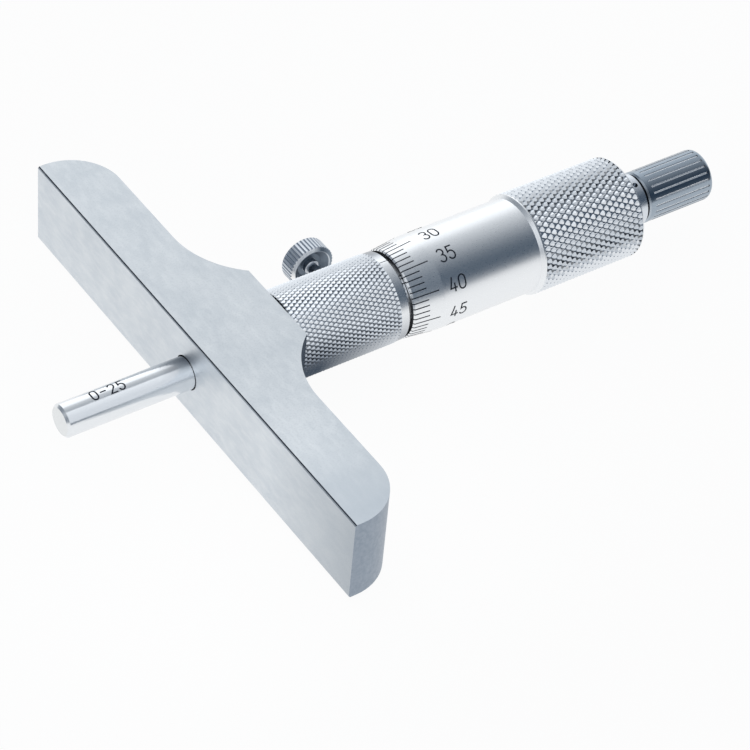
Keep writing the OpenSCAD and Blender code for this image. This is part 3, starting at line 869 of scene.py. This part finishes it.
def make_rod_mark():
    """The plain mark of the range on the rod."""
    shape = Shape()

    def rod(y):
        return rod_r

    shape.write("0-25", rod_tip + range_from_tip, ROD_DIGITS, rod, range_angle)
    finish_marks(shape, "rod_range_mark", "rod")


def make_spring():
    """The ratchet's spring as round wire, which rides on the clutch ring."""
    shape = Shape()
    coil_r = spring_high[0] - wire_r
    low = spring_low[1] + wire_r
    high = spring_high[1] - wire_r
    steps = spring_turns * WIRE_STEPS
    for k in range(steps + 1):
        y = low + (high - low) * k / steps
        for side in range(WIRE_SIDES):
            turn = TAU * side / WIRE_SIDES
            shape.points.append(around(coil_r + wire_r * math.cos(turn), 360 * k / WIRE_STEPS,
                                       y + wire_r * math.sin(turn)))
    for k in range(steps):
        for side in range(WIRE_SIDES):
            a = k * WIRE_SIDES + side
            b = k * WIRE_SIDES + (side + 1) % WIRE_SIDES
            shape.faces.append((a, a + WIRE_SIDES, b + WIRE_SIDES, b))
    shape.faces.append(tuple(range(WIRE_SIDES)))
    shape.faces.append(tuple(steps * WIRE_SIDES + side for side in reversed(range(WIRE_SIDES))))
    spring = shape.build("spring_coil", WIRE_CREASE)
    assign(spring, spring_steel)
    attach(spring, "clutch")
    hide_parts("ratchet_spring")
    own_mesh(spring)


make_collar()
make_thimble()
make_thimble_marks()
make_sleeve_marks()
make_rod_mark()
make_spring()


# Camera, floor, world and lamps

# Camera angles are azimuth, elevation and roll, in degrees
camera_angles = (52.452, 42.67, 5.612)
camera_target = Vector((19.383, 25, 3.784))
camera_distance = 526.705
camera_lens = 151.06
camera_sensor = 36
camera_clip = (0.01, 20)
floor_size = 3000
lamp_target = Vector((0, 35, 0))

# Studio: grey towards two directions across the rod's axis, with each reach as cosines from them or as
# parts of a direction's Y or Z
GREY_DIRECTION = (0.8475, 0, 0.5307)
GREY_MIRRORED = (-0.8475, 0, 0.5307)
WIDE_REACH = (-0.62, 1)
NARROW_REACH = (0.3, 1)
BLACK_REACH = (0.47, 0.85)
BEHIND_REACH = (-0.16, 0.16)
BEFORE_REACH = (-0.22, -0.45)
HEIGHT_REACH = (-0.45, 0.22)
SKY_WHITE = (1.03, 1.05, 1.07)
SKY_GREY = (0.066, 0.1, 0.145)
SKY_BLACK = (0.008, 0.014, 0.024)
PALE = (0.86, 0.87, 0.88)
WHITE = (1, 1, 1)


def add_to_scene(name, data, place, turn):
    """A camera or lamp at a place in millimetres, turned by a matrix."""
    obj = bpy.data.objects.new(name, data)
    bpy.context.scene.collection.objects.link(obj)
    obj.matrix_world = Matrix.Translation(Vector(place) * MM) @ turn.to_4x4()
    return obj


def make_camera():
    """The photograph's view of the object."""
    azimuth, elevation, roll = (math.radians(a) for a in camera_angles)
    level = math.cos(elevation)
    back = Vector((math.sin(azimuth) * level, -math.cos(azimuth) * level, math.sin(elevation)))
    right = Vector((math.cos(azimuth), math.sin(azimuth), 0))
    up = back.cross(right)
    image_right = math.cos(roll) * right + math.sin(roll) * up
    image_up = -math.sin(roll) * right + math.cos(roll) * up
    data = bpy.data.cameras.new("camera")
    data.lens = camera_lens
    data.sensor_width = camera_sensor
    data.clip_start, data.clip_end = camera_clip
    place = camera_target + back * camera_distance
    turn = Matrix((image_right, image_up, back)).transposed()
    bpy.context.scene.camera = add_to_scene("camera", data, place, turn)


def make_floor():
    """A wide pale floor, nearly white in the picture, that keeps a faint shadow."""
    shape = Shape()
    sides = (-floor_size, floor_size)
    shape.points = [(x, y, floor_level) for x in sides for y in sides]
    shape.faces = [(0, 2, 3, 1)]
    floor = shape.build("floor")
    s = Finish("pale_floor")
    s.finish(PALE, 0.9, 0)
    glow = s.add("Emission")
    s.feed(glow.inputs["Color"], WHITE)
    path = s.add("LightPath").outputs
    seen = s.calc("MAXIMUM", path["Is Camera Ray"], path["Is Glossy Ray"])
    seen = s.calc("MAXIMUM", seen, path["Is Transmission Ray"])
    parts = (s.calc("MULTIPLY", seen, 0.95), s.shader.outputs["BSDF"], glow.outputs["Emission"])
    s.feed(s.nodes["Material Output"].inputs["Surface"], s.result(s.add("MixShader"), parts, "Shader"))
    assign(floor, s.owner)


def make_world():
    """White to the camera; elsewhere a soft studio, grey to black on some sides and white on the rest."""
    world = bpy.data.worlds.new("studio")
    bpy.context.scene.world = world
    s = Shading(world)
    direction = s.add("TexCoord").outputs["Generated"]
    parts = s.split(direction)
    flat = s.vector("NORMALIZE", s.vector("MULTIPLY", direction, (1, 0, 1)))
    towards = s.measure("DOT_PRODUCT", flat, GREY_DIRECTION)
    wide = s.spread(towards, 0, 1, *WIDE_REACH)
    narrow = s.spread(towards, 0, 1, *NARROW_REACH)
    mirrored = s.spread(s.measure("DOT_PRODUCT", flat, GREY_MIRRORED), 0, 1, *NARROW_REACH)
    black = s.spread(parts["Y"], 0, 1, *BLACK_REACH)
    rear = s.calc("ADD", s.calc("MULTIPLY", narrow, black), s.calc("MULTIPLY", wide, s.inverse(black)))
    rear = s.calc("MULTIPLY", rear, s.spread(parts["Y"], 0, 1, *BEHIND_REACH))
    front = s.calc("MAXIMUM", wide, mirrored)
    front = s.calc("MULTIPLY", front, s.spread(parts["Y"], 0, 0.85, *BEFORE_REACH))
    sky = s.blend(s.calc("MAXIMUM", rear, front), SKY_WHITE, s.blend(black, SKY_GREY, SKY_BLACK))
    height = s.spread(parts["Z"], 0, 1, *HEIGHT_REACH, "SMOOTHSTEP")
    studio = s.blend(height, PALE, sky)
    seen = s.blend(s.add("LightPath").outputs["Is Camera Ray"], studio, WHITE)
    s.feed(s.nodes["Background"].inputs["Color"], seen)
    s.feed(s.nodes["Background"].inputs["Strength"], 1)


def area_lamp(name, place, turn, size, energy):
    """A soft lamp, its size in millimetres along its own X and Y."""
    data = bpy.data.lights.new(name, "AREA")
    data.shape = "RECTANGLE"
    data.size, data.size_y = (s * MM for s in size)
    data.energy = energy
    add_to_scene(name, data, place, turn)


def softbox(name, place, size, energy):
    """A square lamp that looks at the middle of the gauge."""
    turn = (Vector(place) - lamp_target).to_track_quat("Z", "Y").to_matrix()
    area_lamp(name, place, turn, (size, size), energy)


def card(name, start, end, target, width, radiance):
    """A long reflector from start to end, as a lamp of that radiance towards the target."""
    start, end, target = Vector(start), Vector(end), Vector(target)
    along = (end - start).normalized()
    back = (start + end) / 2 - target
    back = (back - along * back.dot(along)).normalized()
    size = ((end - start).length, width)
    energy = radiance * math.pi * size[0] * size[1] * MM * MM
    turn = Matrix((along, back.cross(along), back)).transposed()
    area_lamp(name, (start + end) / 2, turn, size, energy)


make_camera()
make_floor()
make_world()
softbox("key", place=(-260, -120, 620), size=420, energy=0.15)
softbox("fill", place=(-500, 160, 300), size=500, energy=0.3)
card("rod_card", start=(58, -8, 14), end=(4, -8, 60), target=(0, -12, 0), width=84, radiance=0.68)
bpy.context.scene.view_settings.view_transform = "Standard"


def plain(bounds):
    """A box as plain lists of numbers."""
    return [[float(v) for v in part] for part in bounds]
